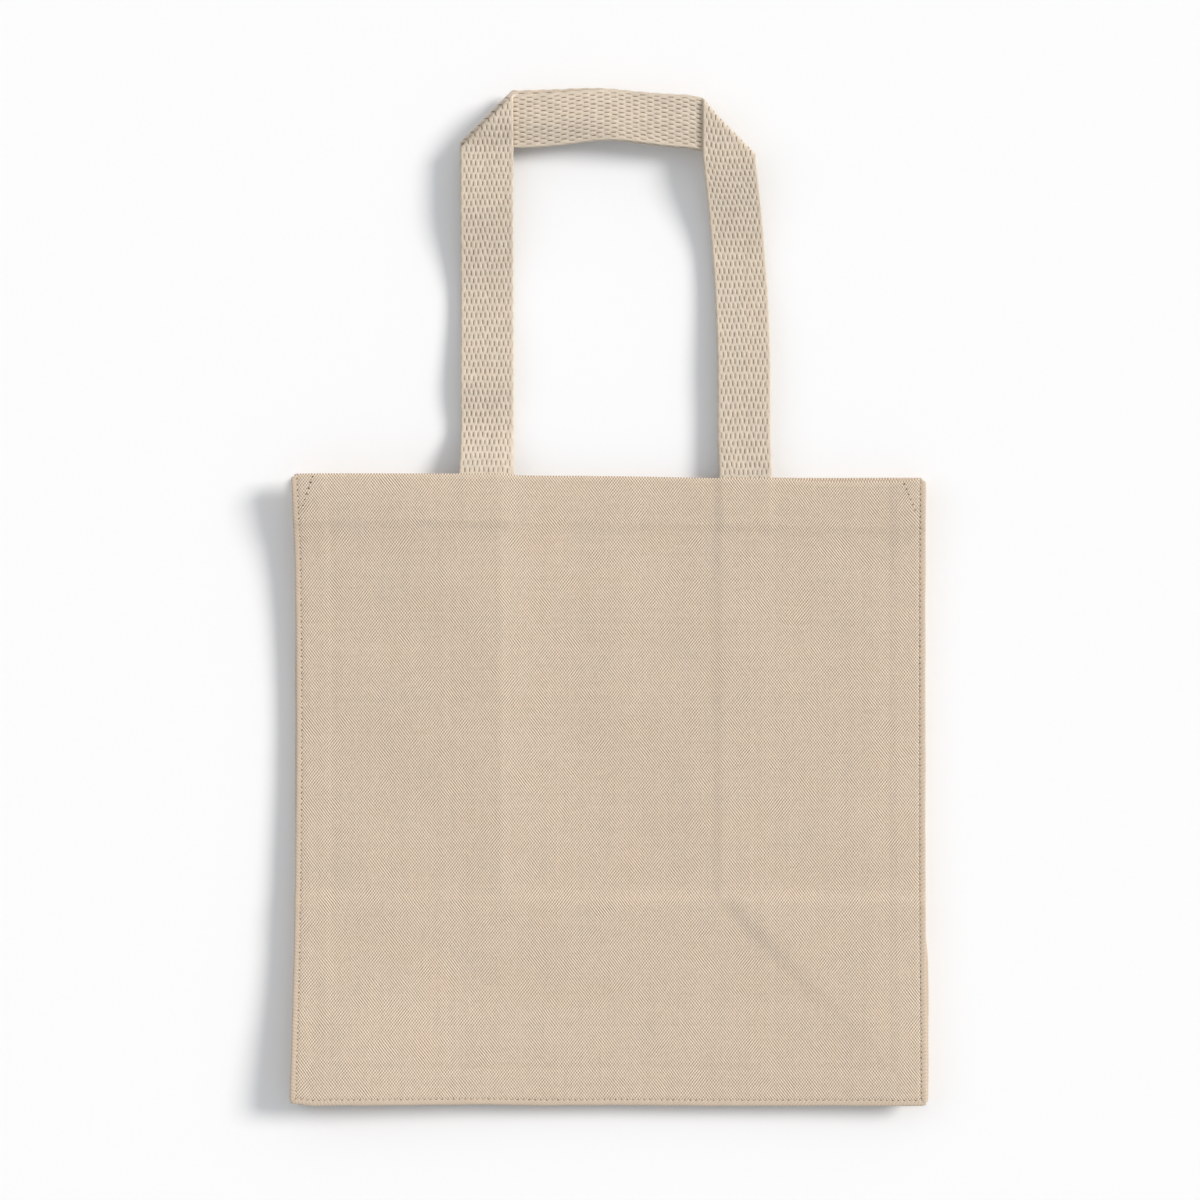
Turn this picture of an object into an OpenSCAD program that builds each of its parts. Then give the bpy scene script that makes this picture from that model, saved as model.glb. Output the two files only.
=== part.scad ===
// Canvas grocery tote with a deep folded gusset and two webbing handles, lying folded flat on its back.
// X is across the bag, Y runs from the base up to the mouth and handles, Z is up from the surface it lies on.
// The gusset strip goes down the left side, along the base and up the right side. Folded flat, its sides and
// base turn in between the front and back panels, and each lower corner has a triangular tuck.
// Lengths are in millimetres.

/* [Bag] */
// Width of the front and back panels
bag_w = 305; // [280:1:360]
// Height of the front and back panels
bag_h = 305; // [280:1:360]
// Depth of the bag when open, from front seam to back seam
gusset_d = 200; // [160:2:220]
// Depth of the hem turned in at the mouth
hem_d = 25; // [20:1:32]

/* [Canvas] */
// Thickness of one layer of canvas
cloth_t = 0.7; // [0.5:0.1:0.8]
// Air between layers that move on each other
air = 0.3; // [0.3:0.1:0.5]

/* [Seams] */
// Width of the pinched seam that stands along each panel's edge
seam_w = 3.6; // [3:0.2:5]
// Distance from a panel's edge to its row of stitches
stitch_in = 2.7; // [2:0.1:2.9]
// Width of the thread
thread_w = 0.5; // [0.4:0.1:0.8]
// Depth to which the thread sinks into the canvas
thread_t = 0.3; // [0.2:0.1:0.3]
// Distance from a side edge to the top of a corner's slanted stitches
corner_top_in = 11; // [8:1:16]
// Height of a corner's slanted stitches
corner_h = 18; // [12:1:24]

/* [Handles] */
// Cut length of each webbing strap
strap_len = 508; // [480:2:600]
// Width of the webbing
strap_w = 25.5; // [25:0.5:32]
// Thickness of the free webbing
strap_t = 1.9; // [1.5:0.1:2.2]
// Thickness of a strap's end, pressed flat inside the hem
strap_end_t = 1.2; // [1:0.1:1.5]
// Distance between the legs of a handle at the mouth
leg_spacing = 125; // [110:1:140]
// Distance between the legs at the top of the handle
fold_spacing = 116; // [105:1:130]
// Shift of the handles from the middle of the panel
handle_shift = 3; // [0:0.5:4]

/* [Hidden] */

canvas = "#d2bfaa";
webbing = "#d1c1ae";
thread = "#dccbb5";

// The stack of layers, from the surface up to the middle of the folded bag. The front half mirrors it.
hem_top = 2 * cloth_t + strap_end_t;
side_z = hem_top + air + cloth_t;
tuck_z = side_z + cloth_t + air;
base_z = tuck_z + cloth_t + air;
mid_z = base_z + cloth_t + air / 2;
stack_t = 2 * mid_z;
// A seam is four layers of canvas, and the gusset bends just above it.
seam_top = side_z - 0.1;
// The gusset's half width, from its seam to its crease.
fold_l = gusset_d / 2;

// Handles: from the hem up to the folds at the top corners, then across.
fold_rise = (strap_len - 2 * hem_d - fold_spacing) / 2;
strap_z = 0.5;
left_leg_x = handle_shift - leg_spacing / 2;
right_leg_x = handle_shift + leg_spacing / 2;
left_fold_x = left_leg_x + 1;
right_fold_x = left_fold_x + fold_spacing;
overall_l = bag_h + fold_rise + strap_w / 2;
base_y = -overall_l / 2;

// Puts a shape drawn from the base line and the back face into the row's frame.
module place() {
    translate([0, base_y, 0]) children();
}

// Mirrors a back layer to the front half of the stack.
module to_front() {
    translate([0, 0, stack_t]) mirror([0, 0, 1]) children();
}

module to_right() {
    mirror([1, 0, 0]) children();
}

// A straight bar of thread between two points on a panel's outer face.
module thread_bar(a, b) {
    run = b - a;
    length = norm(run);
    translate([a[0], a[1], 0])
        rotate([0, 0, atan2(run[1], run[0])])
            translate([-thread_w / 2, -thread_w / 2, 0])
                cube([length + thread_w, thread_w, thread_t]);
}

module seam_thread() {
    x = bag_w / 2 - stitch_in;
    top = bag_h - corner_h;
    thread_bar([-x, stitch_in], [-x, top]);
    thread_bar([-x, stitch_in], [x, stitch_in]);
    thread_bar([x, stitch_in], [x, top]);
}

module hem_thread() {
    x = bag_w / 2 - stitch_in - 2 * thread_w;
    y = bag_h - hem_d + stitch_in;
    thread_bar([-x, y], [x, y]);
}

module corner_thread() {
    x = bag_w / 2 - stitch_in;
    slant_x = bag_w / 2 - corner_top_in;
    for (side = [-1, 1])
        thread_bar(
            [side * (x - 0.4 * (x - slant_x)), bag_h - 0.6 * corner_h],
            [side * slant_x, bag_h - 2 * thread_w]
        );
}

module panel() {
    color(canvas) place() difference() {
        translate([-bag_w / 2, 0, 0]) cube([bag_w, bag_h, cloth_t]);
        seam_thread();
        hem_thread();
        corner_thread();
    }
}

// The turned-in hem lies on the panel's inner face and rises over the two strap ends.
module hem() {
    x = bag_w / 2 - seam_w - air;
    color(canvas) place() translate([0, bag_h - hem_d, cloth_t]) difference() {
        union() {
            translate([-x, 0, 0]) cube([2 * x, hem_d, cloth_t]);
            for (leg = [left_leg_x, right_leg_x])
                translate([leg - strap_w / 2 - cloth_t, 0, 0])
                    cube([strap_w + 2 * cloth_t, hem_d, strap_end_t + cloth_t]);
        }
        for (leg = [left_leg_x, right_leg_x])
            translate([leg - strap_w / 2, -1, -1]) cube([strap_w, hem_d + 2, strap_end_t + 1]);
    }
}

// The pinched seam down one side, with the raw edges of panel and gusset turned in.
module side_seam() {
    color(canvas) place() translate([-bag_w / 2, 0, cloth_t])
        cube([seam_w, bag_h, seam_top - cloth_t]);
}

module base_seam() {
    x = bag_w / 2 - seam_w;
    color(canvas) place() translate([-x, 0, cloth_t]) cube([2 * x, seam_w, seam_top - cloth_t]);
}

module strap_end(leg_x) {
    color(webbing) place()
        translate([leg_x - strap_w / 2, bag_h - hem_d, cloth_t])
            cube([strap_w, hem_d, strap_end_t]);
}

// The free loop of a handle: two legs, turned over at 45 degrees onto the piece across the top.
module handle() {
    half = strap_w / 2;
    y = bag_h + air;
    fold_y = bag_h + fold_rise;
    color(webbing) place() {
        translate([0, 0, strap_z]) linear_extrude(strap_t) {
            polygon([
                [left_leg_x - half, y], [left_leg_x + half, y],
                [left_fold_x + half, fold_y + half], [left_fold_x - half, fold_y - half]
            ]);
            polygon([
                [right_leg_x - half, y], [right_leg_x + half, y],
                [right_fold_x + half, fold_y - half], [right_fold_x - half, fold_y + half]
            ]);
        }
        translate([0, 0, strap_z + strap_t]) linear_extrude(strap_t)
            polygon([
                [left_fold_x - half, fold_y - half], [left_fold_x + half, fold_y + half],
                [right_fold_x - half, fold_y + half], [right_fold_x + half, fold_y - half]
            ]);
    }
}

// Half the depth of the left side's gusset. Its lower end is cut at 45 degrees, where the tuck begins.
module side_gusset() {
    near = seam_w + air;
    far = seam_w + fold_l - air;
    color(canvas) place() translate([-bag_w / 2, 0, side_z]) linear_extrude(cloth_t)
        polygon([[near, near], [far, far], [far, bag_h], [near, bag_h]]);
}

module side_gusset_hem() {
    near = seam_w + air;
    color(canvas) place() translate([near - bag_w / 2, bag_h - hem_d, side_z - cloth_t])
        cube([fold_l - 2 * air, hem_d, cloth_t]);
}

module base_gusset() {
    near = seam_w + air;
    color(canvas) place() translate([near - bag_w / 2, near, base_z])
        cube([bag_w - 2 * near, fold_l - 2 * air, cloth_t]);
}

// The tuck folds back from the cut end of the side gusset, and lies flat between it and the base's gusset.
module tuck() {
    near = seam_w + air;
    far = seam_w + fold_l - air;
    slack = 2 * air;
    color(canvas) place() translate([-bag_w / 2, 0, tuck_z]) linear_extrude(cloth_t)
        polygon([[near, near + slack], [near, far], [far - slack, far]]);
}

module back_panel() { panel(); }
module back_hem() { hem(); }
module back_left_seam() { side_seam(); }
module back_right_seam() { to_right() side_seam(); }
module back_base_seam() { base_seam(); }
module back_seam_stitching() { color(thread) place() seam_thread(); }
module back_hem_stitching() { color(thread) place() hem_thread(); }
module back_corner_stitching() { color(thread) place() corner_thread(); }
module back_strap_end_left() { strap_end(left_leg_x); }
module back_strap_end_right() { strap_end(right_leg_x); }
module back_handle() { handle(); }

module front_panel() { to_front() panel(); }
module front_hem() { to_front() hem(); }
module front_left_seam() { to_front() side_seam(); }
module front_right_seam() { to_front() to_right() side_seam(); }
module front_base_seam() { to_front() base_seam(); }
module front_seam_stitching() { to_front() back_seam_stitching(); }
module front_hem_stitching() { to_front() back_hem_stitching(); }
module front_corner_stitching() { to_front() back_corner_stitching(); }
module front_strap_end_left() { to_front() strap_end(left_leg_x); }
module front_strap_end_right() { to_front() strap_end(right_leg_x); }
module front_handle() { to_front() handle(); }

module left_gusset_back() { side_gusset(); }
module left_gusset_front() { to_front() side_gusset(); }
module left_gusset_hem_back() { side_gusset_hem(); }
module left_gusset_hem_front() { to_front() side_gusset_hem(); }
module right_gusset_back() { to_right() side_gusset(); }
module right_gusset_front() { to_front() to_right() side_gusset(); }
module right_gusset_hem_back() { to_right() side_gusset_hem(); }
module right_gusset_hem_front() { to_front() to_right() side_gusset_hem(); }
module base_gusset_back() { base_gusset(); }
module base_gusset_front() { to_front() base_gusset(); }
module left_tuck_back() { tuck(); }
module left_tuck_front() { to_front() tuck(); }
module right_tuck_back() { to_right() tuck(); }
module right_tuck_front() { to_front() to_right() tuck(); }

back_panel();
back_hem();
back_left_seam();
back_right_seam();
back_base_seam();
back_seam_stitching();
back_hem_stitching();
back_corner_stitching();
back_strap_end_left();
back_strap_end_right();
back_handle();
front_panel();
front_hem();
front_left_seam();
front_right_seam();
front_base_seam();
front_seam_stitching();
front_hem_stitching();
front_corner_stitching();
front_strap_end_left();
front_strap_end_right();
front_handle();
left_gusset_back();
left_gusset_front();
left_gusset_hem_back();
left_gusset_hem_front();
right_gusset_back();
right_gusset_front();
right_gusset_hem_back();
right_gusset_hem_front();
base_gusset_back();
base_gusset_front();
left_tuck_back();
left_tuck_front();
right_tuck_back();
right_tuck_front();
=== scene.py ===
import math

import bpy
import numpy as np
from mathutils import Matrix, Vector


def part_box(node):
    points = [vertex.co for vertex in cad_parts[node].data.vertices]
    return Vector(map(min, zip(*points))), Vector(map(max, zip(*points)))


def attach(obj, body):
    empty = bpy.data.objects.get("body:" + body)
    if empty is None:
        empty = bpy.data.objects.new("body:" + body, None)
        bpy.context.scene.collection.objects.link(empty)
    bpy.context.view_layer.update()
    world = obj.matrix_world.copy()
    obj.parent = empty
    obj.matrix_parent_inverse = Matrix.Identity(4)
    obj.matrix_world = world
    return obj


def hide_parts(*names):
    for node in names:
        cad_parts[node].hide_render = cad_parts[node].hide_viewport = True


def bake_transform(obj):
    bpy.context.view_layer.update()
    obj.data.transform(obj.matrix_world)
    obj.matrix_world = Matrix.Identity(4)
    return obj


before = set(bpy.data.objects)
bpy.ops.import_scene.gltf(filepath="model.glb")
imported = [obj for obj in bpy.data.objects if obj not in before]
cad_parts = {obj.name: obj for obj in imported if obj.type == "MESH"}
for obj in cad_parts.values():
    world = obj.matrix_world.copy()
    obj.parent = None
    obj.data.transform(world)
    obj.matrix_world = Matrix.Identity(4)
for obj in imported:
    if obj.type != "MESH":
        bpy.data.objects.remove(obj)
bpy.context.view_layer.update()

MM = 0.001


# ------ measures from the frame

def corners(node):
    """A CAD node's lowest and highest corners, in millimetres."""
    low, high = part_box(node)
    return np.array(low) / MM, np.array(high) / MM


panel_low, panel_high = corners("front_panel")
HALF_W = panel_high[0]
BASE = panel_low[1]
MOUTH = panel_high[1]
TOP = panel_high[2]
CLOTH = panel_high[2] - panel_low[2]
HEM_Y = corners("front_hem")[0][1]
SEAM_W = np.ptp(corners("back_left_seam"), axis=0)[0]
SEAM_X = HALF_W - SEAM_W
SEAM_Y = BASE + SEAM_W
SIDE_Z = corners("left_gusset_back")[0][2] + CLOTH / 2
TUCK_Z = corners("left_tuck_back")[0][2] + CLOTH / 2
BASE_Z = corners("base_gusset_back")[0][2] + CLOTH / 2
FOLD_L = round(corners("left_gusset_back")[1][0] + SEAM_X)
CREASE_X = SEAM_X - FOLD_L
CREASE_Y = SEAM_Y + FOLD_L
MID_Z = TOP / 2

end_low, end_high = corners("front_strap_end_left")
STRAP_W = end_high[0] - end_low[0]
STRAP_END_T = end_high[2] - end_low[2]
STRAP_END_Z = (end_high[2] + end_low[2]) / 2
LEFT_LEG = (end_high[0] + end_low[0]) / 2
RIGHT_LEG = corners("front_strap_end_right")[0][0] + STRAP_W / 2
handle_low, handle_high = corners("front_handle")
STRAP_T = (handle_high[2] - handle_low[2]) / 2
LEG_Z = handle_high[2] - STRAP_T / 2
FOLD_Y = handle_high[1] - STRAP_W / 2

# The webbing's two diagonal folds, and its length from end to end.
LEFT_FOLD = LEFT_LEG + 1
FOLD_GAP = 116
RIGHT_FOLD = LEFT_FOLD + FOLD_GAP
STRAP_L = 2 * (FOLD_Y - HEM_Y) + FOLD_GAP

# Stitches: distance in from the edge, pitch, and the lower ends of the slanted rows at the mouth.
STITCH_IN = 2.7
STITCH_PITCH = 2.77
CORNER_ROW_LOW = 18
CORNER_ROW_IN = 1.6

# A hinged seam carries the gusset's first strip, a flap. The others meet a plain edge.
FLAP = 10
FLAP_START = -1.6
BEND_SHORT = 0.8
PLAIN_EDGE = -1.0
CREASE_START = FOLD_L - 0.4

# A sheet's rounded rim stands out by this share of its thickness.
RIM_BULGE = 0.42


# ------ how the folded cloth lies

def step(value, centre, width):
    """0 below the centre, 1 above it, and smooth over the width."""
    t = np.clip((value - centre) / width + 0.5, 0, 1)
    return t * t * (3 - 2 * t)


def knots(value, points):
    """A smooth curve through (place, height) pairs, level at each one."""
    out = np.full_like(value, points[0][1], dtype=float)
    for (a, low), (b, high) in zip(points, points[1:]):
        out += (high - low) * step(value, (a + b) / 2, b - a)
    return out


def ripples(x, y, length, seed):
    """Soft random waves of about this length, from -1 to 1."""
    rng = np.random.default_rng(seed)
    total = np.zeros_like(x, dtype=float)
    count = 14
    for _ in range(count):
        angle = rng.uniform(0, np.pi)
        phase = rng.uniform(0, 2 * np.pi)
        size = rng.uniform(0.6, 1.7)
        k = 2 * np.pi / (length * size)
        total += np.sin(k * (x * math.cos(angle) + y * math.sin(angle)) + phase)
    return total / math.sqrt(count * 2)


# Where the stack of layers is thicker or thinner: place, rise, and spread across and along.
LEVEL = 11.4
SWELLS = [
    (-HALF_W, MOUTH, 6.8, 90, 34),
    (-HALF_W, BASE, 5.8, 80, 48),
    (-HALF_W, BASE + 185, -2.3, 70, 62),
    (HALF_W, MOUTH, 2.2, 60, 30),
    (HALF_W, BASE, 2.0, 60, 45),
    (HALF_W, BASE + 190, -0.9, 60, 70),
]


def swelling(x, y):
    """Height of the whole stack, without what shows through the panel."""
    total = np.full_like(x, LEVEL, dtype=float)
    for cx, cy, rise, sx, sy in SWELLS:
        total += rise * np.exp(-(((x - cx) / sx) ** 2) - ((y - cy) / sy) ** 2)
    return total


# How much each hidden layer lifts the panel over it, and a short crease at the lower left.
BASE_RISE = 0.3
ALLOWANCE_RISE = 0.2
ALLOWANCE_W = 16
HEM_RISE = 0.55
STRAP_RISE = 0.3
CREASE_RISE = 0.3
SHORT_CREASE = (-135.5, 52)


def side_sag(x):
    """The panel sinks from the left crease towards the middle, and is raised again past the right one."""
    return (-0.45 * step(x, -CREASE_X - 1.5, 4) - 0.8 * step(x, -CREASE_X + 6, 18)
            - 0.6 * step(x, -CREASE_X + 22, 26) + 0.55 * step(x, CREASE_X - 13, 28)
            + 0.5 * step(x, CREASE_X + 3, 5))


def tuck_rise(x, y, over_base):
    """The tucks lift the panel past their slanted folds, the right one most at its inner end."""
    side = np.abs(x)
    past_slant = (y - SEAM_Y - (SEAM_X - side)) / math.sqrt(2)
    tuck = np.where(x > 0, 1.15 - 0.9 * step(x, 98, 44), 0.4)
    return tuck * over_base * step(past_slant, 1, 10) * step(side, CREASE_X + 9, 14)


def relief(x, y):
    """What shows through the front panel: the folds of the gusset and its tucks, the seam allowances,
    the hem, the strap ends and small creases."""
    over_base = 1 - step(y, CREASE_Y - 3, 7)
    edge = np.minimum(HALF_W - np.abs(x), y - BASE)
    height = side_sag(x) * (1 - over_base) + BASE_RISE * over_base
    height += tuck_rise(x, y, over_base)
    groove = np.exp(-((edge - (ALLOWANCE_W + 1.8)) / 1.6) ** 2)
    height += ALLOWANCE_RISE * (1 - step(edge, ALLOWANCE_W, 2.6)) - 0.1 * groove
    height += HEM_RISE * step(y, HEM_Y, 4.5)
    for leg in (LEFT_LEG, RIGHT_LEG):
        across = 1 - step(np.abs(x - leg), STRAP_W / 2, 3)
        height += STRAP_RISE * across * step(y, HEM_Y, 3)
    crease_x, crease_up = SHORT_CREASE
    height += CREASE_RISE * np.exp(-(((x - crease_x) / 2.6) ** 2) - ((y - BASE - crease_up) / 26) ** 2)
    height += 0.16 * ripples(x, y, 52, 3) + 0.05 * ripples(x, y, 19, 4)
    near_seam = np.exp(-edge / 9)
    height += 0.12 * near_seam * ripples(x, y, 11, 5)
    return height


def front_drift(x, y):
    """How far the front's cloth has slid over the back, across and along."""
    up = (y - BASE) / (MOUTH - BASE)
    left = np.clip(-x / HALF_W, 0, 1) ** 2
    right = np.clip(x / HALF_W, 0, 1) ** 2
    bow = 0.8 - 7.5 * (up - 0.60) ** 2 - 0.9 * step(up, 0.95, 0.2)
    dx = left * bow + 0.4 * right * (1 - step(up, 0.2, 0.2))
    dip = (-0.6 - 1.0 * step(x, -47, 14) - 0.9 * step(x, 20, 70) - 1.9 * step(x, 90, 36)
           + 1.7 * step(x, 145, 12))
    rise = (0.5 * step(x, -140, 14) * (1 - step(x, -45, 40)) - 0.4
            + 1.3 * (1 - step(x, -145, 12)))
    dy = dip * np.clip(up, 0, 1) ** 3 + rise * np.clip(1 - 2 * up, 0, 1)
    return dx, dy + 0.15 * ripples(x, y, 70, 6)


def back_drift(x, y):
    """The same for the back, which shows past the front at the lower right."""
    low = 1 - step(y, BASE + 76, 22)
    dx = (0.3 + 1.6 * low) * step(x, HALF_W - 25, 40)
    top = (-0.6 - 0.7 * step(x, -47, 14) - 1.1 * step(x, 8, 50)) * step(y, MOUTH - 60, 120)
    base = -0.8 * (1 - step(y, BASE + 40, 80)) * (1 - step(x, 20, 140))
    return dx, top + base + 0.15 * ripples(x, y, 80, 7)


# Heights in the flat stack: the top of the back's gusset layer, the bottom of the front's, and where
# the front panel begins. SLACK is how far the front may sink before it presses the layers inside.
LOWER = SIDE_Z + CLOTH / 2
UPPER = TOP - LOWER
HEM_TOP = UPPER + 2 * CLOTH + 0.1
SLACK = 2.6


def settle(points):
    """Flat layers, in millimetres, to how they lie. The back's layers rest on the surface, and the
    front's rise and fall with all that is under them. The gusset follows the front near its seams and
    at the mouth. Inside the bag it stays down, and moves only where the front would press on it."""
    x, y, z = points.T
    y_in = np.minimum(y, MOUTH)
    beyond = 1 - step(y, MOUTH + 32, 60)
    rise = (swelling(x, y_in) + relief(x, y_in) - TOP) * beyond
    from_seam = np.minimum(SEAM_X - np.abs(x), y - SEAM_Y)
    held = np.maximum(1 - step(from_seam, 15, 22), step(y, MOUTH - 42, 24))
    inner = held * rise + (1 - held) * np.minimum(rise + SLACK, 0)
    low_share = np.clip((z - LOWER) / (UPPER - LOWER), 0, 1)
    top_share = np.clip((z - HEM_TOP) / 1.0, 0, 1)
    share = np.where(z > UPPER, 1, low_share)
    drift = front_drift(x, y_in)
    slide = back_drift(x, y_in)
    curl = 1.6 * np.exp(-(((x + HALF_W) / 60) ** 2) - ((y_in - BASE) / 45) ** 2)
    cockle = (0.22 * (1 + ripples(x, y_in, 60, 8)) + curl) * beyond
    return np.stack([
        x + (share * drift[0] + (1 - share) * slide[0]) * beyond,
        y + (share * drift[1] + (1 - share) * slide[1]) * beyond,
        z + inner * low_share + (rise - inner) * top_share + cockle * (1 - low_share * held),
    ], axis=1)


# ------ meshes

def make_mesh(name, points, faces, uv, materials, slots=None):
    """A smooth mesh from flat points and a texture map, both in millimetres."""
    mesh = bpy.data.meshes.new(name)
    mesh.from_pydata((points * MM).tolist(), [], faces)
    index = np.empty(len(mesh.loops), int)
    mesh.loops.foreach_get("vertex_index", index)
    layer = mesh.uv_layers.new(name="cloth")
    layer.data.foreach_set("uv", (uv[index] * MM).astype(np.float32).ravel())
    mesh.polygons.foreach_set("use_smooth", np.ones(len(mesh.polygons), bool))
    for material in materials:
        mesh.materials.append(material)
    if slots is not None:
        mesh.polygons.foreach_set("material_index", slots)
    mesh.validate()
    piece = bpy.data.objects.new(name, mesh)
    bpy.context.collection.objects.link(piece)
    return piece


def lay(piece):
    """Moves a piece's points from the flat shape to how the cloth lies."""
    mesh = piece.data
    flat = np.empty(len(mesh.vertices) * 3)
    mesh.vertices.foreach_get("co", flat)
    moved = settle(flat.reshape(-1, 3) / MM) * MM
    mesh.vertices.foreach_set("co", moved.astype(np.float32).ravel())
    mesh.update()


class Shell:
    """Points, faces and texture map of one or more closed solids, drawn for the front."""

    def __init__(self):
        self.points, self.uv, self.faces, self.slots = [], [], [], []
        self.count = 0

    def add(self, points, uv, faces, slot=0):
        self.points.append(points)
        self.uv.append(uv)
        self.faces += [tuple(int(v) + self.count for v in face) for face in faces]
        self.slots += [slot] * len(faces)
        self.count += len(points)

    def build(self, name, side, materials, uv_shift=0.0):
        points = np.concatenate(self.points)
        faces = self.faces
        if side == "back":
            points = points * [1, 1, -1] + [0, 0, TOP]
            faces = [face[::-1] for face in faces]
        uv = np.concatenate(self.uv) + uv_shift
        return make_mesh(name, points, faces, uv, materials, self.slots)


def tube_faces(rings, columns, flip=False):
    """Faces of a closed tube, from its rings of points. flip turns them over."""
    faces = []
    for i in range(rings - 1):
        for j in range(columns):
            a = i * columns + j
            b = i * columns + (j + 1) % columns
            quad = (a, b, b + columns, a + columns)
            faces.append((a, a + columns, b + columns, b) if flip else quad)
    first = tuple(range(columns))
    last = tuple(range((rings - 1) * columns, rings * columns))
    return faces + ([first, last[::-1]] if flip else [first[::-1], last])


def grid_faces(rows, columns, start=0, flip=False):
    """Faces of one side of a sheet, from its rows of points."""
    faces = []
    for i in range(rows - 1):
        for j in range(columns - 1):
            a = start + i * columns + j
            quad = (a, a + columns, a + columns + 1, a + 1)
            faces.append(quad[::-1] if flip else quad)
    return faces


def cloth_solid(shell, middle, uv, above, below, up=None):
    """A sheet with a rounded rim. middle is its mid-surface as a grid, above and below are its half
    thicknesses, and up is its normal if it is flat."""
    rows, columns = middle.shape[:2]
    if up is None:
        normal = np.cross(np.gradient(middle, axis=0), np.gradient(middle, axis=1))
        normal /= np.linalg.norm(normal, axis=2, keepdims=True)
    else:
        normal = np.broadcast_to(np.array(up, float), middle.shape)
    above = np.broadcast_to(above, (rows, columns))[..., None]
    below = np.broadcast_to(below, (rows, columns))[..., None]
    n = rows * columns
    index = np.arange(n).reshape(rows, columns)
    rim = np.concatenate([index[0, :], index[1:, -1], index[-1, -2::-1], index[-2:0:-1, 0]])
    flat = middle.reshape(-1, 3)
    inner = middle[1:-1, 1:-1] if min(rows, columns) > 2 else middle
    centre = inner.reshape(-1, 3).mean(axis=0)
    along = np.roll(flat[rim], -1, axis=0) - np.roll(flat[rim], 1, axis=0)
    outward = np.cross(along, normal.reshape(-1, 3)[rim])
    outward /= np.maximum(np.linalg.norm(outward, axis=1, keepdims=True), 1e-9)
    if ((flat[rim] - centre) * outward).sum() < 0:
        outward = -outward
    thick = (above + below).reshape(-1, 1)[rim]
    off_middle = (normal * (above - below) / 2).reshape(-1, 3)[rim]
    rim_points = flat[rim] + outward * thick * RIM_BULGE + off_middle
    top = (middle + normal * above).reshape(-1, 3)
    bottom = (middle - normal * below).reshape(-1, 3)
    faces = grid_faces(rows, columns) + grid_faces(rows, columns, n, flip=True)
    count = len(rim)
    for i in range(count):
        a, b = rim[i], rim[(i + 1) % count]
        ra, rb = 2 * n + i, 2 * n + (i + 1) % count
        faces.append((a, ra, rb, b)[::-1])
        faces.append((ra, a + n, b + n, rb)[::-1])
    flat_uv = uv.reshape(-1, 2)
    points = np.concatenate([top, bottom, rim_points])
    faces = outward_faces(points, faces, top, normal)
    shell.add(points, np.concatenate([flat_uv, flat_uv, flat_uv[rim]]), faces)


def outward_faces(points, faces, top, normal):
    """The faces, turned over if the first one looks into the sheet."""
    a, b, c = (points[v] for v in faces[0][:3])
    if np.dot(np.cross(b - a, c - a), normal[0, 0]) < 0:
        return [face[::-1] for face in faces]
    return faces


def spaced(start, stop, pitch, fine=0.5, band=3.0):
    """Places from start to stop at the pitch, with finer ones within the band at each end."""
    ends = np.arange(0, band, fine)
    count = max(2, round((stop - start - 2 * band) / pitch) + 1)
    middle = np.linspace(start + band, stop - band, count)
    return np.concatenate([start + ends, middle, (stop - ends)[::-1]])


PANEL_PITCH = 1.55
MOUTH_PITCH = 0.55


def panel_shell():
    """The panel's face. It dips into the rows of stitches and rolls over a little at the mouth."""
    shell = Shell()
    reach = HALF_W - STITCH_IN - 0.05
    x = spaced(-reach, reach, PANEL_PITCH)
    y = spaced(BASE + STITCH_IN + 0.05, MOUTH - 4, PANEL_PITCH)
    y = np.concatenate([y, np.arange(MOUTH - 3.4, MOUTH, MOUTH_PITCH)])
    y = np.unique(np.round(np.append(y, MOUTH - CLOTH * RIM_BULGE), 4))
    gx, gy = np.meshgrid(x, y, indexing="ij")
    inset = np.minimum(reach - np.abs(gx), gy - BASE - STITCH_IN)
    dip = 0.28 * np.exp(-((np.clip(inset, 0, None) / 0.8) ** 2)) + 0.06 * np.exp(-inset / 3)
    slanted = (gy - MOUTH + CORNER_ROW_LOW) / (CORNER_ROW_LOW - 1)
    row_x = HALF_W - STITCH_IN - CORNER_ROW_IN - 6.2 * slanted
    dip += 0.10 * np.exp(-(((np.abs(gx) - row_x) / 0.9) ** 2)) * (slanted > 0)
    roll = 0.5 * np.clip(1 - (MOUTH - gy) / 2.2, 0, 1) ** 2
    middle = np.stack([gx, gy, TOP - CLOTH / 2 - dip - roll], axis=2)
    cloth_solid(shell, middle, np.stack([gx, gy], axis=2), CLOTH / 2, CLOTH / 2, up=(0, 0, 1))
    return shell


def hem_shell():
    """The hem inside the mouth, which rises over the two strap ends."""
    shell = Shell()
    x = spaced(-SEAM_X + 0.4, SEAM_X - 0.4, 1.7)
    y = np.linspace(HEM_Y + 0.3, MOUTH - 0.4, 17)
    gx, gy = np.meshgrid(x, y, indexing="ij")
    near = STRAP_W / 2 + 1.4
    over = sum(1 - step(np.abs(gx - leg), near, 2.2) for leg in (LEFT_LEG, RIGHT_LEG))
    depth = CLOTH * 1.5 + over * STRAP_END_T
    middle = np.stack([gx, gy, TOP - depth - 0.02], axis=2)
    cloth_solid(shell, middle, np.stack([gx, gy + 40], axis=2), CLOTH / 2, CLOTH / 2, up=(0, 0, 1))
    return shell


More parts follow.
